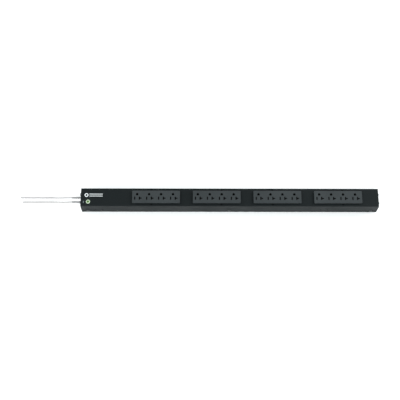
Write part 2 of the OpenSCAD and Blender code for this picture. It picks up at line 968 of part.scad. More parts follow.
// Small printed stroke beside the lamp
module lamp_mark() {
    color(ink_grey)
        translate([lamp_mark_x, lamp_y - lamp_mark_drop, case_depth])
            linear_extrude(ink)
                round_outline(lamp_mark_width, lamp_mark_height, lamp_mark_corner);
}

// Ribbed sleeve that a lead leaves through; side is -1 or 1
module lead_sleeve(side) {
    color(sleeve_grey)
        translate([-half_length, side * lead_spacing / 2, lead_height])
            rotate([0, -90, 0])
                difference() {
                    union() {
                        translate([0, 0, -sleeve_inside])
                            cylinder(h = sleeve_inside, r = spigot_radius);
                        cylinder(h = sleeve_flange, r = sleeve_flange_radius);
                        cylinder(h = sleeve_length, r = sleeve_core_radius);
                        for (k = [0:sleeve_ribs - 1])
                            translate([0, 0, sleeve_rib_start + k * sleeve_rib_pitch])
                                cylinder(h = sleeve_rib_width,
                                    d = sleeve_diameter - k * sleeve_rib_taper);
                    }
                    translate([0, 0, -sleeve_inside - over])
                        cylinder(h = sleeve_inside + sleeve_length + 2 * over, d = lead_diameter);
                }
}

module sleeve_nuts() {
    nut_x = -half_length + sheet + bracket_sheet;
    color(zinc)
        for (side = sides)
            translate([nut_x, side * lead_spacing / 2, lead_height])
                rotate([0, 90, 0])
                    difference() {
                        cylinder(h = sleeve_nut_length, r = sleeve_nut_radius, $fn = 6);
                        translate([0, 0, -over])
                            cylinder(h = sleeve_nut_length + 2 * over, r = spigot_radius + gap);
                    }
}

module lead_upper() {
    color(lead_grey)
        tube(upper_route, lead_diameter, lead_sides);
}

module lead_lower() {
    color(lead_grey)
        tube(lower_route, lead_diameter, lead_sides);
}

// Stripped end of a lead, from its sleeve to its pole of the terminal block
module tail(start, pole) {
    tube([
        start, start + [5, 0, -0.2], start + [10, 0, -2.6],
        start + [14, 0, -6.4], start + [18, 0, -10.6],
        [start.x + 22, pole, terminal_wire_z + 0.6],
        [start.x + 26, pole, terminal_wire_z], [terminal_x - 3, pole, terminal_wire_z]
    ], wire_diameter, wire_sides);
}

module line_tail() {
    color(wire_black)
        tail(lower_route[0], pole_y[0]);
}

module neutral_tail() {
    color(wire_white)
        tail(upper_route[0], pole_y[1]);
}

cover();
back_tray();
end_plate(-1);  // end_plate_left
end_plate(1);  // end_plate_right
end_bracket(-1);  // end_bracket_left
end_bracket(1);  // end_bracket_right
bracket_rivets();
end_plate_screws();
cover_screws();
mount_nuts();
insulator_sheet();
outlet_face(0);  // outlet_face_1
outlet_face(1);  // outlet_face_2
outlet_face(2);  // outlet_face_3
outlet_face(3);  // outlet_face_4
outlet_back(0);  // outlet_back_1
outlet_back(1);  // outlet_back_2
outlet_back(2);  // outlet_back_3
outlet_back(3);  // outlet_back_4
line_bus(0);  // line_bus_1
line_bus(1);  // line_bus_2
line_bus(2);  // line_bus_3
line_bus(3);  // line_bus_4
neutral_bus(0);  // neutral_bus_1
neutral_bus(1);  // neutral_bus_2
neutral_bus(2);  // neutral_bus_3
neutral_bus(3);  // neutral_bus_4
earth_bus(0);  // earth_bus_1
earth_bus(1);  // earth_bus_2
earth_bus(2);  // earth_bus_3
earth_bus(3);  // earth_bus_4
bank_screws();
housing_screws();
line_wires();
neutral_wires();
earth_wires();
earth_stud();
earth_lug();
earth_nut();
terminal_block();
terminal_inserts();
terminal_screws();
lamp_bezel();
lamp_lens();
lamp_body();
lamp_nut();
lamp_wires();
face_mark();
lamp_mark();
lead_sleeve(1);  // lead_sleeve_upper
lead_sleeve(-1);  // lead_sleeve_lower
sleeve_nuts();
lead_upper();
lead_lower();
line_tail();
neutral_tail();
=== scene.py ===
"""Rack power strip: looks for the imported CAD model, in metres, in the same frame."""
import json
import math
import random

import bmesh
import bpy
from mathutils import Matrix, Vector


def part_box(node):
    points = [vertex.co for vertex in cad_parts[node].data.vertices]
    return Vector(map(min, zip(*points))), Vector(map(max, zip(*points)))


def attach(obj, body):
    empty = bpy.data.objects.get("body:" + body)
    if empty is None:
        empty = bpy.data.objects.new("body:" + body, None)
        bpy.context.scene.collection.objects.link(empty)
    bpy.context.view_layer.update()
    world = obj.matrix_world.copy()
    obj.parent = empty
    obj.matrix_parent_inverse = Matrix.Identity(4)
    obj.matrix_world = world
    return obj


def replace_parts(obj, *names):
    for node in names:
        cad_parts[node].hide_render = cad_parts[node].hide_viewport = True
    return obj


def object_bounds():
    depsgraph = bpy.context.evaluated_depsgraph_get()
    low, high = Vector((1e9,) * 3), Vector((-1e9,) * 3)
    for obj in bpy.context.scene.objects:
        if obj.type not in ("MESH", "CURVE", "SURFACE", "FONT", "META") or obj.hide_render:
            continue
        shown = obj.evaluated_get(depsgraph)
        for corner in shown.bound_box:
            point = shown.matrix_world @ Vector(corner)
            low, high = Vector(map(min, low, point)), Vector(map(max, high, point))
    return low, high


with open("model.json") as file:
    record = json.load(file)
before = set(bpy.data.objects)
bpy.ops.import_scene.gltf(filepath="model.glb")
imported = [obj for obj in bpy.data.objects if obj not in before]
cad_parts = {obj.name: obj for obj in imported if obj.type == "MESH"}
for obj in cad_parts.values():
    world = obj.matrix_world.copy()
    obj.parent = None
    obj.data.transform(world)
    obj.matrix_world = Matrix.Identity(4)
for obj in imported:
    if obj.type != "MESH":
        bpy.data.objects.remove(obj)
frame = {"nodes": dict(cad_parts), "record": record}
cad_low, cad_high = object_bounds()

MM = 0.001
WELD = 0.0001 * MM  # points closer than this are one point
BANKS = 4
ROOT = "root"

# ---------------------------------------------------------------- camera

SENSOR = 36.0  # millimetres
FOCAL_WIDTHS = 2.2325  # focal length, in widths of the frame
CAMERA_PLACE = Vector((-0.0808, -0.8753, 2.3197))
CAMERA_FORWARD = Vector((0.0, 0.3562, -0.9344))
CAMERA_ROLL = math.radians(0.099)


def make_camera():
    data = bpy.data.cameras.new("camera")
    data.sensor_width = SENSOR
    data.lens = SENSOR * FOCAL_WIDTHS
    data.clip_start, data.clip_end = 0.05, 30
    camera = bpy.data.objects.new("camera", data)
    bpy.context.scene.collection.objects.link(camera)
    turn = CAMERA_FORWARD.to_track_quat("-Z", "Y").to_matrix().to_4x4()
    camera.matrix_world = Matrix.Translation(CAMERA_PLACE) @ turn @ Matrix.Rotation(
        CAMERA_ROLL, 4, "Z")
    bpy.context.scene.camera = camera


make_camera()

# ---------------------------------------------------------------- node helpers


class Material:
    """A node material with short calls for the nodes that this file uses."""

    def __init__(self, name):
        self.material = bpy.data.materials.new(name)
        self.material.use_nodes = True
        self.tree = self.material.node_tree
        self.shader = self.tree.nodes["Principled BSDF"]

    def node(self, kind, **sockets):
        made = self.tree.nodes.new(kind)
        for key, value in sockets.items():
            self.feed(made.inputs[key.replace("_", " ")], value)
        return made

    def feed(self, socket, value):
        if isinstance(value, bpy.types.NodeSocket):
            self.tree.links.new(value, socket)
        elif isinstance(value, tuple) and len(value) == 3 and socket.type == "RGBA":
            socket.default_value = (*value, 1.0)
        else:
            socket.default_value = value

    def set(self, **sockets):
        for key, value in sockets.items():
            self.feed(self.shader.inputs[key.replace("_", " ")], value)

    def place(self):
        return self.node("ShaderNodeTexCoord").outputs["Object"]

    def noise(self, scale, detail=3.0, roughness=0.5, stretch=None):
        made = self.node("ShaderNodeTexNoise", Scale=scale, Detail=detail, Roughness=roughness)
        self.feed(made.inputs["Vector"], self.stretched(stretch))
        return made.outputs["Fac"]

    def stretched(self, stretch):
        if stretch is None:
            return self.place()
        mapping = self.node("ShaderNodeMapping", Vector=self.place())
        mapping.inputs["Scale"].default_value = stretch
        return mapping.outputs["Vector"]

    def cells(self, scale):
        made = self.node("ShaderNodeTexVoronoi", Scale=scale, Vector=self.place())
        return made.outputs["Distance"]

    def ramp(self, factor, *stops):
        made = self.node("ShaderNodeValToRGB", Fac=factor)
        elements = made.color_ramp.elements
        while len(elements) < len(stops):
            elements.new(0.5)
        for element, (position, colour) in zip(elements, stops):
            element.position = position
            element.color = (*colour, 1.0)
        return made.outputs["Color"]

    def spread(self, factor, low, high):
        """Noise's usual range, 0.3 to 0.7, spread over low to high."""
        made = self.node("ShaderNodeMapRange", Value=factor)
        made.inputs["From Min"].default_value = 0.3
        made.inputs["From Max"].default_value = 0.7
        made.inputs["To Min"].default_value = low
        made.inputs["To Max"].default_value = high
        return made.outputs["Result"]

    def math(self, operation, first, second):
        made = self.node("ShaderNodeMath")
        made.operation = operation
        self.feed(made.inputs[0], first)
        self.feed(made.inputs[1], second)
        return made.outputs[0]

    def mix(self, factor, first, second):
        made = self.node("ShaderNodeMix")
        made.data_type = "RGBA"
        self.feed(made.inputs[0], factor)
        self.feed(made.inputs[6], first)
        self.feed(made.inputs[7], second)
        return made.outputs[2]

    def edge_wear(self, radius, low, high):
        """1 along sharp edges and 0 elsewhere, from the Bevel node's normal."""
        bevel = self.node("ShaderNodeBevel", Radius=radius)
        bevel.samples = 4
        geometry = self.node("ShaderNodeNewGeometry")
        dot = self.node("ShaderNodeVectorMath")
        dot.operation = "DOT_PRODUCT"
        self.feed(dot.inputs[0], bevel.outputs["Normal"])
        self.feed(dot.inputs[1], geometry.outputs["Normal"])
        made = self.node("ShaderNodeMapRange", Value=dot.outputs["Value"])
        made.inputs["From Min"].default_value = high
        made.inputs["From Max"].default_value = low
        return made.outputs["Result"]

    def openness(self, distance):
        """1 in the open and 0 deep in a hole or a tight corner about that wide, for painting shade
        into recesses.
        """
        shade = self.node("ShaderNodeAmbientOcclusion", Distance=distance)
        shade.samples = 8
        made = self.node("ShaderNodeMapRange", Value=shade.outputs["AO"])
        made.inputs["From Min"].default_value = 0.35
        made.inputs["From Max"].default_value = 0.75
        return made.outputs["Result"]

    def bump(self, height, distance, strength):
        made = self.node("ShaderNodeBump", Height=height, Distance=distance, Strength=strength)
        return made.outputs["Normal"]


def scaled(colour, factor):
    return tuple(min(1.0, c * factor) for c in colour)


# ---------------------------------------------------------------- materials


def powder_coat(name, colour):
    """Fine-textured baked paint on sheet steel, lighter on rubbed edges, with painted shade darkening
    it in holes and tight corners.
    """
    m = Material(name)
    cloud = m.noise(9.0, 4.0)
    body = m.ramp(cloud, (0.35, scaled(colour, 0.9)), (0.65, scaled(colour, 1.1)))
    fleck = m.ramp(m.noise(2600.0, 2.0), (0.4, (0, 0, 0)), (0.75, (1, 1, 1)))
    body = m.mix(m.math("MULTIPLY", fleck, 0.25), body, scaled(colour, 2.2))
    worn = m.math("MULTIPLY", m.edge_wear(0.5 * MM, 0.75, 0.98), m.spread(m.noise(60.0), 0.05, 0.35))
    body = m.mix(worn, body, scaled(colour, 2.4))
    # painted shade: ambient occlusion darkens the paint to a tenth of its colour in holes and tight
    # corners
    body = m.mix(m.openness(2 * MM), scaled(colour, 0.1), body)
    peel = m.math("ADD", m.noise(1500.0, 2.0), m.math("MULTIPLY", m.cells(900.0), 0.6))
    smear = m.noise(22.0, 5.0, 0.6, (1.0, 3.0, 3.0))
    m.set(Base_Color=body, Roughness=m.spread(smear, 0.54, 0.66), Specular_IOR_Level=0.19,
          Normal=m.bump(peel, 0.08 * MM, 0.6))
    return m.material


def moulded(name, colour, low=0.42, high=0.56, grain_scale=1900.0, specular=0.3):
    """Injection-moulded plastic with a spark-eroded grain."""
    m = Material(name)
    cloud = m.noise(14.0, 3.0)
    body = m.ramp(cloud, (0.35, scaled(colour, 0.94)), (0.65, scaled(colour, 1.06)))
    worn = m.math("MULTIPLY", m.edge_wear(0.4 * MM, 0.75, 0.98), 0.12)
    body = m.mix(worn, body, scaled(colour, 1.9))
    grain = m.math("ADD", m.noise(grain_scale, 3.0, 0.65), m.math("MULTIPLY", m.cells(700.0), 0.3))
    m.set(Base_Color=body, Roughness=m.spread(m.noise(35.0, 4.0), low, high),
          Specular_IOR_Level=specular, Normal=m.bump(grain, 0.03 * MM, 0.5))
    return m.material


def metal(name, colour, rough_low, rough_high, stretch=(1.0, 1.0, 1.0), tarnish=(0.5, 0.5, 0.5)):
    """Bare or plated metal, drawn along one direction and dulled in patches."""
    m = Material(name)
    lines = m.noise(420.0, 3.0, 0.6, stretch)
    dull = m.spread(m.noise(70.0, 4.0), 0.0, 0.45)
    body = m.mix(dull, colour, tuple(a * b for a, b in zip(colour, tarnish)))
    m.set(Base_Color=body, Metallic=1.0, Roughness=m.spread(lines, rough_low, rough_high),
          Normal=m.bump(lines, 0.01 * MM, 0.4))
    return m.material


def oxide_metal(name, colour, shine=0.5, metallic=0.3):
    """Black-oxide screw steel, brighter where a driver and fingers have rubbed it."""
    m = Material(name)
    rubbed = m.math("MULTIPLY", m.edge_wear(0.4 * MM, 0.7, 0.97), m.spread(m.noise(300.0), 0.2, 0.8))
    body = m.mix(rubbed, colour, scaled(colour, 4.0))
    m.set(Base_Color=body, Metallic=metallic, Roughness=m.spread(m.noise(240.0, 4.0), 0.36, 0.5),
          Specular_IOR_Level=shine, Normal=m.bump(m.noise(1400.0, 2.0), 0.02 * MM, 0.4))
    return m.material


def insulation(name, colour, rough=0.38):
    """Smooth extruded wire insulation, faintly drawn along its length."""
    m = Material(name)
    drawn = m.noise(160.0, 3.0, 0.5, (0.12, 1.0, 1.0))
    body = m.ramp(drawn, (0.3, scaled(colour, 0.93)), (0.7, scaled(colour, 1.05)))
    m.set(Base_Color=body, Roughness=m.spread(drawn, rough, rough + 0.1),
          Specular_IOR_Level=0.45, Normal=m.bump(drawn, 0.03 * MM, 0.35))
    return m.material


def card(name, colour):
    """Pressed fibre card with fine fibres and flecks."""
    m = Material(name)
    fibre = m.noise(700.0, 5.0, 0.7, (0.3, 1.0, 1.0))
    fleck = m.noise(90.0, 3.0)
    body = m.ramp(fibre, (0.3, scaled(colour, 0.85)), (0.7, scaled(colour, 1.05)))
    body = m.mix(m.spread(fleck, 0.0, 0.2), body, scaled(colour, 0.7))
    m.set(Base_Color=body, Roughness=0.8, Normal=m.bump(fibre, 0.05 * MM, 0.6))
    return m.material


def ink(name, colour, paint):
    """Screen-printed ink, thinner in places so that the paint under it shows a little."""
    m = Material(name)
    thin = m.noise(900.0, 4.0, 0.65)
    bare = m.ramp(thin, (0.28, (0.16, 0.16, 0.16)), (0.42, (0, 0, 0)))
    m.set(Base_Color=m.mix(bare, colour, paint), Roughness=m.spread(thin, 0.42, 0.55),
          Normal=m.bump(thin, 0.02 * MM, 0.4))
    return m.material


def lamp_plastic(name, colour, glow, rough):
    """Tinted lamp plastic, cloudy inside, with a faint glow of its own."""
    m = Material(name)
    cloud = m.noise(380.0, 3.0)
    body = m.ramp(cloud, (0.35, scaled(colour, 0.88)), (0.65, scaled(colour, 1.08)))
    m.set(Base_Color=body, Roughness=m.spread(m.noise(120.0), rough, rough + 0.08),
          Specular_IOR_Level=0.5, Coat_Weight=0.35, Coat_Roughness=0.12,
          Emission_Color=colour, Emission_Strength=glow,
          Normal=m.bump(m.noise(700.0, 2.0), 0.02 * MM, 0.3))
    return m.material


CASE_COLOUR = (0.0031, 0.0051, 0.0056)
BANK_COLOUR = (0.0288, 0.033, 0.0345)
WHITE_INK = (0.78, 0.79, 0.79)

materials = {
    "black_steel": powder_coat("case_paint", CASE_COLOUR),
    "black_screws": oxide_metal("screw_oxide", (0.05, 0.054, 0.055)),
    "bank_screw_steel": oxide_metal("bank_screw_oxide", (0.001, 0.001, 0.0012), 0.03, 0.0),
    "bank_plastic": moulded("bank_plastic", BANK_COLOUR),
    # near-black plastic; the banks' hole walls and lower parts and the sleeves' mouths also take it
    # as painted shade
    "inner_plastic": moulded("inner_plastic", (0.004, 0.004, 0.0045), 0.5, 0.6, specular=0.12),
    "zinc_steel": metal("zinc_plate", (0.62, 0.63, 0.65), 0.26, 0.42, (0.2, 1.0, 1.0),
                        (0.7, 0.72, 0.74)),
    "brass": metal("strip_brass", (0.78, 0.57, 0.25), 0.24, 0.38, (0.15, 1.0, 1.0),
                   (0.62, 0.5, 0.35)),
    "liner": card("fibre_card", (0.7, 0.63, 0.48)),
    "terminal_plastic": moulded("terminal_nylon", (0.64, 0.6, 0.47), 0.4, 0.5),
    "wire_black": insulation("wire_black", (0.012, 0.012, 0.013)),
    "wire_white": insulation("wire_white", (0.78, 0.78, 0.74)),
    "wire_green": insulation("wire_green", (0.02, 0.2, 0.045)),
    "wire_red": insulation("wire_red", (0.45, 0.03, 0.02)),
    "bezel": lamp_plastic("bezel_plastic", (0.43, 0.52, 0.37), 0.02, 0.28),
    "lens": lamp_plastic("lens_plastic", (0.05, 0.12, 0.01), 0.03, 0.16),
    "ink_white": ink("ink_white", WHITE_INK, CASE_COLOUR),
    "ink_grey": ink("ink_grey", (0.14, 0.16, 0.17), CASE_COLOUR),
    "lead_jacket": insulation("lead_jacket", (0.415, 0.388, 0.388), 0.55),
    "sleeve": moulded("sleeve_grey", (0.325, 0.312, 0.313), 0.5, 0.6, 1200.0),
}
copper = metal("strand_copper", (0.84, 0.42, 0.24), 0.25, 0.4, (1.0, 1.0, 1.0), (0.6, 0.5, 0.45))

for part in frame["record"]["subparts"]:
    shown = frame["nodes"][part["node"]].data
    shown.materials.clear()
    shown.materials.append(materials[part["material_slot"]])

# ---------------------------------------------------------------- mesh helpers


def add_object(name, data):
    made = bpy.data.objects.new(name, data)
    bpy.context.scene.collection.objects.link(made)
    return made


def finished(name, bm, slot, smooth_angle=35):
    """Object from a bmesh, on the root body, with its slot's material."""
    bmesh.ops.remove_doubles(bm, verts=bm.verts, dist=WELD)
    bmesh.ops.recalc_face_normals(bm, faces=bm.faces)
    mesh = bpy.data.meshes.new(name)
    bm.to_mesh(mesh)
    bm.free()
    mesh.materials.append(materials[slot])
    made = add_object(name, mesh)
    shade(made, smooth_angle)
    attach(made, ROOT)
    return made


def shade(made, angle):
    """Smooth faces, with edges sharper than angle degrees kept sharp."""
    mesh = made.data
    mesh.shade_smooth()
    bm = bmesh.new()
    bm.from_mesh(mesh)
    for edge in bm.edges:
        sharp = len(edge.link_faces) != 2 or edge.calc_face_angle(0) > math.radians(angle)
        edge.smooth = not sharp
    bm.to_mesh(mesh)
    bm.free()


def lathe(bm, profile, matrix, steps=48):
    """Solid of revolution about Z. The profile is (radius, height) points; ends on the axis close."""
    rings = []
    for radius, height in profile:
        if radius <= 1e-9:
            rings.append([bm.verts.new(matrix @ Vector((0, 0, height)))])
            continue
        rings.append([
            bm.verts.new(matrix @ Vector((radius * math.cos(a), radius * math.sin(a), height)))
            for a in (2 * math.pi * k / steps for k in range(steps))])
    for low, high in zip(rings, rings[1:]):
        for k in range(steps):
            corners = [low[k % len(low)], low[(k + 1) % len(low)],
                       high[(k + 1) % len(high)], high[k % len(high)]]
            unique = list(dict.fromkeys(corners))
            if len(unique) > 2:
                bm.faces.new(unique)


def arc(centre, radius, start, end, steps):
    """(x, y) points on a circle, angles in degrees."""
    return [(centre[0] + radius * math.cos(math.radians(a)),
             centre[1] + radius * math.sin(math.radians(a)))
            for a in (start + (end - start) * k / steps for k in range(steps + 1))]


def round_rectangle(low, high, radius, steps=6):
    """Outline of a rectangle with round corners, anticlockwise."""
    (x0, y0), (x1, y1) = low, high
    r = radius
    return (arc((x1 - r, y1 - r), r, 0, 90, steps) + arc((x0 + r, y1 - r), r, 90, 180, steps)
            + arc((x0 + r, y0 + r), r, 180, 270, steps) + arc((x1 - r, y0 + r), r, 270, 360, steps))


def plate(outer, holes, z_low, z_high, edge):
    """Mesh of a flat plate whose outline and holes have rounded edges of that radius."""
    curve = bpy.data.curves.new("plate", "CURVE")
    curve.dimensions = "2D"
    curve.fill_mode = "BOTH"
    curve.extrude = (z_high - z_low) / 2 - edge
    curve.bevel_depth = edge
    curve.bevel_resolution = 1
    curve.offset = -edge
    for outline in [outer, *holes]:
        spline = curve.splines.new("POLY")
        spline.points.add(len(outline) - 1)
        for point, (x, y) in zip(spline.points, outline):
            point.co = (x, y, 0, 1)
        spline.use_cyclic_u = True
    carrier = bpy.data.objects.new("plate", curve)
    mesh = bpy.data.meshes.new_from_object(carrier)
    bpy.data.objects.remove(carrier)
    bpy.data.curves.remove(curve)
    mesh.transform(Matrix.Translation((0, 0, (z_low + z_high) / 2)))
    return mesh


def flatten(made):
    """Keeps broad faces flat beside their rounded edges."""
    modifier = made.modifiers.new("flat_faces", "WEIGHTED_NORMAL")
    modifier.keep_sharp = True


def bevel_edges(made, width):
    """Small rounded edges on a CAD node, as a modifier."""
    modifier = made.modifiers.new("edges", "BEVEL")
    modifier.width = width
    modifier.segments = 2
    modifier.limit_method = "ANGLE"
    modifier.angle_limit = math.radians(40)
    flatten(made)


# ---------------------------------------------------------------- leads and sleeves

LEAD_DIAMETER = 4 * MM

STRAND_RADIUS = 0.42 * MM
STRAND_CHAMFER = 0.1 * MM
STRAND_BURIED = 2 * MM
STRAND_SHOWN = 0.5 * MM
OUTER_STRANDS = 6

SPIGOT_RADIUS, SPIGOT_DEPTH = 3 * MM, 7.8 * MM  # in the end plate and behind it
FLANGE_RADIUS, FLANGE = 4.2 * MM, 1.6 * MM
SLEEVE_CORE = 2.6 * MM
SLEEVE_MOUTH_SHADE = 1.2 * MM  # painted shade: this much of a sleeve's outer end is drawn near-black, for the shade in its mouth
RIBS, RIB_PITCH, RIB_WIDTH = 7, 3.2 * MM, 1.8 * MM
FIRST_RIB = 1 * MM  # from the flange
RIB_RADIUS, RIB_SHRINK = 3.2 * MM, 0.075 * MM  # the first rib's, and how much less each next one
RIB_SOFT = 0.35 * MM

# The leads' routes, as the CAD model has them, in millimetres: along the case, and height
LEAD_RUN = [
    (-399, 22.2), (-406, 22.2), (-414, 22.2), (-422, 22.2), (-431, 22.2), (-438, 21.8),
    (-446, 20.3), (-454, 17.8), (-462, 14.5), (-470, 11), (-478, 7.8), (-486, 5.1),
    (-494, 3.2), (-502, 2.3), (-510, 2), (-520, 2), (-530, 2), (-540, 2), (-550, 2),
    (-560, 2)]
UPPER_ACROSS = [6.4, 6.4, 6.4, 6.4, 6.4, 6.4, 6.8, 7.7, 8.9, 10.3, 11.6, 12.6, 13.4, 13.8,
                13.9, 14, 14, 14, 14, 14.1]
LOWER_ACROSS = [-6.4, -6.4, -6.4, -6.4, -6.4, -6.4, -6, -5.1, -3.9, -2.5, -1.3, -0.3, 0.4, 0.7,
                0.8, 0.8, 0.8, 0.7, 0.7, 0.7]
UPPER_END = [(-570, 14.1, 2), (-579, 14.1, 2)]
LOWER_END = [(-572.5, 0.7, 2)]


def lead_route(across, end):
    points = [(x, y, z) for (x, z), y in zip(LEAD_RUN, across)] + end
    return [Vector(p) * MM for p in points]


def lead_curve(name, route):
    """Round jacket along the route, with closed ends."""
    curve = bpy.data.curves.new(name, "CURVE")
    curve.dimensions = "3D"
    curve.bevel_depth = LEAD_DIAMETER / 2
    curve.bevel_resolution = 6
    curve.resolution_u = 6
    curve.use_fill_caps = True
    spline = curve.splines.new("BEZIER")
    spline.bezier_points.add(len(route) - 1)
    for point, place in zip(spline.bezier_points, route):
        point.co = place
        point.handle_left_type = point.handle_right_type = "AUTO"
    curve.materials.append(materials["lead_jacket"])
    return add_object(name, curve)


def strand_ends(name, tip, direction):
    """The seven copper strands that just show at a lead's cut end."""
    bm = bmesh.new()
    turn = direction.to_track_quat("Z", "Y").to_matrix().to_4x4()
    angles = [2 * math.pi * k / OUTER_STRANDS for k in range(OUTER_STRANDS)]
    apart = 2 * STRAND_RADIUS
    centres = [(0, 0)] + [(apart * math.cos(a), apart * math.sin(a)) for a in angles]
    profile = [(0, -STRAND_BURIED), (STRAND_RADIUS, -STRAND_BURIED),
               (STRAND_RADIUS, STRAND_SHOWN - STRAND_CHAMFER),
               (STRAND_RADIUS - STRAND_CHAMFER, STRAND_SHOWN), (0, STRAND_SHOWN)]
    for x, y in centres:
        place = Matrix.Translation(tip) @ turn @ Matrix.Translation((x, y, 0))
        lathe(bm, profile, place, 12)
    made = finished(name, bm, "brass")
    made.data.materials[0] = copper
    return made


def rib_profile(start, crest):
    """One rib with a rounded crest, out from the core and back to it."""
    soft, cut = RIB_SOFT, 0.3 * RIB_SOFT
    end = start + RIB_WIDTH
    return [(SLEEVE_CORE, start), (crest - soft, start), (crest - cut, start + cut),
            (crest, start + soft), (crest, end - soft), (crest - cut, end - cut),
            (crest - soft, end), (SLEEVE_CORE, end)]


def sleeve_profile(length, bore):
    """Spigot, flange, ribs that shrink outwards, and a rounded tip."""
    profile = [(bore, -SPIGOT_DEPTH), (SPIGOT_RADIUS, -SPIGOT_DEPTH), (SPIGOT_RADIUS, 0),
               (FLANGE_RADIUS - 0.3 * MM, 0), (FLANGE_RADIUS, 0.3 * MM),
               (FLANGE_RADIUS, FLANGE - 0.4 * MM), (FLANGE_RADIUS - 0.4 * MM, FLANGE),
               (SLEEVE_CORE, FLANGE)]
    for k in range(RIBS):
        profile += rib_profile(FLANGE + FIRST_RIB + k * RIB_PITCH, RIB_RADIUS - k * RIB_SHRINK)
    return profile + [(SLEEVE_CORE, length - 0.6 * MM), (SLEEVE_CORE - 0.3 * MM, length - 0.1 * MM),
                      (SLEEVE_CORE - 0.5 * MM, length), (bore, length)]


def make_sleeve(name, node, exit_place, length):
    bm = bmesh.new()
    outward = Matrix.Translation(exit_place) @ Matrix.Rotation(math.radians(-90), 4, "Y")
    lathe(bm, sleeve_profile(length, LEAD_DIAMETER / 2), outward, 40)
    close_bore(bm)
    made = finished(name, bm, "sleeve")
    # painted shade: the faces at the sleeve's outer end and in its bore take the near-black plastic
    made.data.materials.append(materials["inner_plastic"])
    tip = exit_place.x - length
    for face in made.data.polygons:
        if face.center.x < tip + SLEEVE_MOUTH_SHADE:
            face.material_index = 1
    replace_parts(made, node)
    return made


def close_bore(bm):
    """Joins the two open rings of a tube profile into one closed wall."""
    loops = [e for e in bm.edges if len(e.link_faces) == 1]
    if loops:
        bmesh.ops.bridge_loops(bm, edges=loops)


def make_lead(name, route):
    """One lead with its sleeve and its cut end."""
    node = f"lead_{name}"
    sleeve_node = f"lead_sleeve_{name}"
    low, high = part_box(sleeve_node)
    plate_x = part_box("end_plate_left")[0].x
    exit_place = Vector((plate_x, (low.y + high.y) / 2, (low.z + high.z) / 2))
    lead = lead_curve(f"{node}_jacket", route)
    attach(lead, ROOT)
    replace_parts(lead, node)
    sleeve = make_sleeve(f"{sleeve_node}_ribbed", sleeve_node, exit_place, plate_x - low.x)
    strands = strand_ends(f"{node}_strands", route[-1], (route[-1] - route[-2]).normalized())


make_lead("upper", lead_route(UPPER_ACROSS, UPPER_END))
make_lead("lower", lead_route(LOWER_ACROSS, LOWER_END))

# ---------------------------------------------------------------- outlet banks

BANK_LENGTH, BANK_WIDTH, BANK_CORNER = 130.4 * MM, 35.5 * MM, 2 * MM
BANK_FACE_DEPTH = 6 * MM  # how much of a bank's front is the detailed moulding
BANK_EDGE = 0.35 * MM
OUTLET_PITCH = 32.6 * MM
OUTLET_SHIFT = -2.65 * MM
BLADE_SPACING = 12.7 * MM
SLOT_Y = -4.5 * MM
EARTH_Y = SLOT_Y + 11.9 * MM
SLOT_WIDTH, SLOT_LENGTH = 2.6 * MM, 8.2 * MM
T_STEM = 5.6 * MM
EARTH_WIDTH = 6 * MM
STEPS = [-1.5, -0.5, 0.5, 1.5]
SLOT_CORNER = 0.3 * MM
WALL = 1 * MM
HOLE_SHADE_DEPTH = 0.03 * MM  # painted shade: a hole's walls are drawn near-black from this far below the face


def slot_outline(x, y):
    return round_rectangle((x - SLOT_WIDTH / 2, y - SLOT_LENGTH / 2),
                           (x + SLOT_WIDTH / 2, y + SLOT_LENGTH / 2), SLOT_CORNER, 2)


def t_outline(x, y):
    """Upright slot with a stem from its middle towards +X."""
    w, h, stem = SLOT_WIDTH / 2, SLOT_LENGTH / 2, T_STEM
    return [(x + w, y + w), (x + w, y + h), (x - w, y + h), (x - w, y - h), (x + w, y - h),
            (x + w, y - w), (x + stem, y - w), (x + stem, y + w)]


def earth_outline(x, y):
    """Round top and square foot."""
    r = EARTH_WIDTH / 2
    return arc((x, y), r, 0, 180, 12) + [(x - r, y - r), (x + r, y - r)]


def outlet_holes(centre_x):
    holes = []
    for step in STEPS:
        x = centre_x + OUTLET_SHIFT + step * OUTLET_PITCH
        holes += [slot_outline(x - BLADE_SPACING / 2, SLOT_Y),
                  t_outline(x + BLADE_SPACING / 2, SLOT_Y), earth_outline(x, EARTH_Y)]
    return [list(reversed(h)) for h in holes]


def make_bank(number):
    """Soft-edged face with its holes, on the lower part of the bank's CAD shape."""
    node = f"outlet_face_{number}"
    low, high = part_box(node)
    centre_x = (low.x + high.x) / 2
    half_length, half_width = BANK_LENGTH / 2, BANK_WIDTH / 2
    seam = high.z - BANK_FACE_DEPTH
    outline = round_rectangle((centre_x - half_length, -half_width),
                              (centre_x + half_length, half_width), BANK_CORNER, 8)
    face = plate(outline, outlet_holes(centre_x), seam, high.z, BANK_EDGE)
    bm = bmesh.new()
    bm.from_mesh(frame["nodes"][node].data)
    below = bm.verts[:] + bm.edges[:] + bm.faces[:]
    bmesh.ops.bisect_plane(bm, geom=below, plane_co=(0, 0, seam), plane_no=(0, 0, 1),
                           clear_outer=True)
    bmesh.ops.holes_fill(bm, edges=[e for e in bm.edges if len(e.link_faces) == 1])
    bm.from_mesh(face)
    bpy.data.meshes.remove(face)
    made = finished(f"bank_{number}_moulding", bm, "bank_plastic")
    # painted shade: the bank's lower part and its hole walls take the near-black plastic, for the
    # shade under the face and inside the holes
    made.data.materials.append(materials["inner_plastic"])
    for face in made.data.polygons:
        inside = all(abs(c) < limit for c, limit in (
            (face.center.x - centre_x, half_length - WALL), (face.center.y, half_width - WALL)))
        if face.center.z < seam or (inside and face.center.z < high.z - HOLE_SHADE_DEPTH):
            face.material_index = 1
    flatten(made)
    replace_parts(made, node)


for bank in range(1, BANKS + 1):
    make_bank(bank)

# ---------------------------------------------------------------- case edges

for name in ("cover", "back_tray", "end_plate_left", "end_plate_right", "end_bracket_left",
             "end_bracket_right"):
    bevel_edges(frame["nodes"][name], 0.2 * MM)

# ---------------------------------------------------------------- pilot lamp


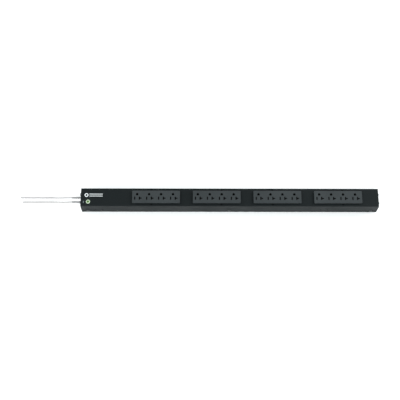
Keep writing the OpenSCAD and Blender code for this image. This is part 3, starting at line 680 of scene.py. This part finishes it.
LENS_GAP = 0.1 * MM
BARREL_RADIUS = 4.3 * MM
BEZEL_ROUND = 0.9 * MM
LENS_SEAT = 0.2 * MM  # how far below the bezel's top the dome starts
LENS_RIDGE = 0.06 * MM


def bezel_profile(bore, rim, bottom, top):
    """Barrel, flat flange and rounded rim, down to the bore."""
    foot, lip = 0.2 * MM, 0.15 * MM
    rounding = arc((rim - BEZEL_ROUND, top - BEZEL_ROUND), BEZEL_ROUND, 0, 90, 6)
    return [(bore, bottom), (BARREL_RADIUS, bottom), (BARREL_RADIUS, 0), (rim - foot, 0),
            (rim, foot), *rounding, (bore + 0.5 * MM, top), (bore + lip, top - lip),
            (bore, top - 0.5 * MM)]


def lens_profile(radius, bottom, start, top):
    """Cylinder with a dome in fine rings."""
    profile = [(0, bottom), (radius, bottom)]
    for k in range(9):
        angle = math.radians(10 * k)
        ridge = LENS_RIDGE if k % 2 else 0.0
        profile.append((radius * math.cos(angle), start + (top - start) * math.sin(angle) + ridge))
    return profile + [(0, top + LENS_RIDGE)]


def make_lamp():
    low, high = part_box("lamp_bezel")
    lens_low, lens_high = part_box("lamp_lens")
    face_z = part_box("face_mark")[0].z
    centre = Vector(((low.x + high.x) / 2, (low.y + high.y) / 2, face_z))
    at = Matrix.Translation(centre)
    rim, well = (high.x - low.x) / 2, (lens_high.x - lens_low.x) / 2
    bezel_top = high.z - face_z

    bm = bmesh.new()
    lathe(bm, bezel_profile(well + LENS_GAP, rim, low.z - face_z, bezel_top), at, 72)
    close_bore(bm)
    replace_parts(finished("lamp_ring", bm, "bezel"), "lamp_bezel")

    bm = bmesh.new()
    lathe(bm, lens_profile(well, lens_low.z - face_z, bezel_top - LENS_SEAT, lens_high.z - face_z),
          at, 72)
    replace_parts(finished("lamp_dome", bm, "lens"), "lamp_lens")


make_lamp()

# ---------------------------------------------------------------- screws


THREAD, THREAD_PITCH = 0.18 * MM, 0.7 * MM
SIDE_HEAD_RADIUS, SIDE_HEAD = 4.25 * MM, 2 * MM
END_HEAD_RADIUS, END_HEAD = 4.75 * MM, 3 * MM
SHANK_RADIUS, SHANK = 2 * MM, 7 * MM
SIDE_RECESS = (2.2 * MM, 0.42 * MM, 1.3 * MM)  # reach, half width and depth
END_RECESS = (2.4 * MM, 0.45 * MM, 1.6 * MM)


def cross_cutter(bm, matrix, reach, width, depth):
    """Tapered cross-recess cutter, its mouth on z = 0."""
    taper = 0.62
    for turn in (0, 90):
        spin = matrix @ Matrix.Rotation(math.radians(turn), 4, "Z")
        top = [(-reach, -width), (reach, -width), (reach, width), (-reach, width)]
        rings = []
        for scale, z in ((1.08, 0.001), (1.0, 0.0), (taper, -depth)):
            rings.append([bm.verts.new(spin @ Vector((x * scale, y * (1 if z >= 0 else 0.8), z)))
                          for x, y in top])
        for low, high in zip(rings, rings[1:]):
            for k in range(4):
                bm.faces.new([low[k], low[(k + 1) % 4], high[(k + 1) % 4], high[k]])
        bm.faces.new(rings[0][::-1])
        bm.faces.new(rings[-1])


def pan_head(radius, height):
    """Rounded pan head on z = 0."""
    crown = 0.55 * height
    edge = 0.15 * MM
    profile = [(radius - edge, 0), (radius, edge), (radius, height - crown)]
    profile += [(radius - crown * 0.9 * (1 - math.cos(math.radians(a))),
                 height - crown + crown * math.sin(math.radians(a))) for a in range(15, 91, 15)]
    return profile + [(0.4 * radius, height + 0.02 * MM), (0, height + 0.03 * MM)]


def screw_mesh(head, recess):
    """Head, threaded shank and a cross recess, as one mesh about Z."""
    bm = bmesh.new()
    profile = [(0, -SHANK), (SHANK_RADIUS - 2 * THREAD, -SHANK)]
    z = -SHANK + 0.5 * MM
    while z < -2.2 * MM:
        profile += [(SHANK_RADIUS - THREAD, z), (SHANK_RADIUS, z + 0.35 * THREAD_PITCH),
                    (SHANK_RADIUS - THREAD, z + 0.7 * THREAD_PITCH)]
        z += THREAD_PITCH
    profile += [(SHANK_RADIUS, -0.6 * MM), (SHANK_RADIUS, 0)] + head
    lathe(bm, profile, Matrix.Identity(4), 40)
    bmesh.ops.remove_doubles(bm, verts=bm.verts, dist=WELD)
    bmesh.ops.recalc_face_normals(bm, faces=bm.faces)
    body = bpy.data.meshes.new("screw")
    bm.to_mesh(body)
    bm.free()
    cut = bmesh.new()
    top = max(v.co.z for v in body.vertices)
    cross_cutter(cut, Matrix.Translation((0, 0, top)), *recess)
    bmesh.ops.recalc_face_normals(cut, faces=cut.faces)
    cutter = bpy.data.meshes.new("cutter")
    cut.to_mesh(cutter)
    cut.free()
    screw, tool = add_object("screw", body), add_object("cutter", cutter)
    boolean = screw.modifiers.new("recess", "BOOLEAN")
    boolean.operation, boolean.object, boolean.solver = "DIFFERENCE", tool, "EXACT"
    boolean.use_self = True
    bpy.context.view_layer.update()
    graph = bpy.context.evaluated_depsgraph_get()
    made = bpy.data.meshes.new_from_object(screw.evaluated_get(graph))
    for carrier in (screw, tool):
        bpy.data.objects.remove(carrier)
    return made


def make_screws(name, node, slot, mesh, places):
    bm = bmesh.new()
    for matrix in places:
        copy = mesh.copy()
        copy.transform(matrix)
        bm.from_mesh(copy)
        bpy.data.meshes.remove(copy)
    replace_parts(finished(name, bm, slot, 30), node)


def solids_of(node):
    """Boxes of a node's separate solids, as (low, high) pairs."""
    bm = bmesh.new()
    bm.from_mesh(frame["nodes"][node].data)
    bmesh.ops.remove_doubles(bm, verts=bm.verts, dist=10 * WELD)
    left, boxes = set(bm.verts), []
    while left:
        todo, island = [next(iter(left))], []
        left.discard(todo[0])
        while todo:
            v = todo.pop()
            island.append(v.co.copy())
            for edge in v.link_edges:
                other = edge.other_vert(v)
                if other in left:
                    left.discard(other)
                    todo.append(other)
        boxes.append((Vector([min(c[k] for c in island) for k in range(3)]),
                      Vector([max(c[k] for c in island) for k in range(3)])))
    bm.free()
    return sorted(boxes, key=lambda b: tuple(round(c, 4) for c in b[0]))


def screw_places(node, axis, face):
    """Places of the screws of a node that stand on the two faces at plus and minus face."""
    rng = random.Random(7)
    places = []
    for low, high in solids_of(node):
        middle = (low + high) / 2
        side = 1 if middle[axis] > 0 else -1
        middle[axis] = side * face
        outward = Vector((0, 0, 0))
        outward[axis] = side
        spin = Matrix.Rotation(rng.uniform(0, math.pi / 2), 4, "Z")
        places.append(Matrix.Translation(middle)
                      @ outward.to_track_quat("Z", "Y").to_matrix().to_4x4() @ spin)
    return places


cover_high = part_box("cover")[1]
side_head = screw_mesh(pan_head(SIDE_HEAD_RADIUS, SIDE_HEAD), SIDE_RECESS)
make_screws("side_pan_screws", "cover_screws", "black_screws", side_head,
            screw_places("cover_screws", 1, cover_high.y))
end_head = screw_mesh(pan_head(END_HEAD_RADIUS, END_HEAD), END_RECESS)
make_screws("end_pan_screws", "end_plate_screws", "black_screws", end_head,
            screw_places("end_plate_screws", 0, cover_high.x))

# ---------------------------------------------------------------- studio

STUDIO_WHITE = (0.92, 0.985, 1.0)
FLOOR_COLOUR = (0.955, 0.935, 0.93)
FLOOR_GLOW = 0.2
FLOOR_GAP = 0.2 * MM  # between the object and the floor, so that their faces don't coincide


def stage_plane(name, size, z, colour):
    bm = bmesh.new()
    bmesh.ops.create_grid(bm, x_segments=8, y_segments=8, size=size)
    mesh = bpy.data.meshes.new(name)
    bm.to_mesh(mesh)
    bm.free()
    m = Material(name)
    cloud = m.noise(1.5, 2.0)
    m.set(Base_Color=m.ramp(cloud, (0.3, scaled(colour, 0.985)), (0.7, colour)), Roughness=0.85,
          Specular_IOR_Level=0.1, Emission_Color=(1.0, 1.0, 1.0), Emission_Strength=FLOOR_GLOW)
    mesh.materials.append(m.material)
    made = add_object(name, mesh)
    made.location.z = z


def area_light(name, place, target, size, power):
    data = bpy.data.lights.new(name, "AREA")
    data.shape = "RECTANGLE"
    data.size, data.size_y = size
    data.energy = power
    data.color = STUDIO_WHITE
    made = add_object(name, data)
    made.location = place
    made.rotation_mode = "QUATERNION"
    made.rotation_quaternion = (Vector(target) - Vector(place)).to_track_quat("-Z", "Y")


def studio_world():
    """Soft white surround, brightest near the horizon and dimmer overhead."""
    world = bpy.data.worlds.new("studio")
    world.use_nodes = True
    nodes, links = world.node_tree.nodes, world.node_tree.links
    background = nodes["Background"]
    background.inputs["Color"].default_value = (*STUDIO_WHITE, 1.0)
    split = nodes.new("ShaderNodeSeparateXYZ")
    fade = nodes.new("ShaderNodeMapRange")
    fade.interpolation_type = "SMOOTHSTEP"
    for key, value in (("From Min", 0.3), ("From Max", 0.95), ("To Min", 1.3), ("To Max", 0.35)):
        fade.inputs[key].default_value = value
    links.new(nodes.new("ShaderNodeTexCoord").outputs["Generated"], split.inputs[0])
    links.new(split.outputs["Z"], fade.inputs["Value"])
    links.new(fade.outputs["Result"], background.inputs["Strength"])
    bpy.context.scene.world = world


stage_plane("pale_floor", 6.0, min(cad_low.z, 0) - FLOOR_GAP, FLOOR_COLOUR)
area_light("key", (-0.5, -2.2, 1.5), (0, 0, 0), (2.4, 1.2), 60)
area_light("left", (-2.2, 1.0, 1.4), (0, 0, 0), (1.6, 1.6), 20)
area_light("right", (2.2, 1.0, 1.4), (0, 0, 0), (1.6, 1.6), 50)
studio_world()
bpy.context.scene.view_settings.view_transform = "Standard"
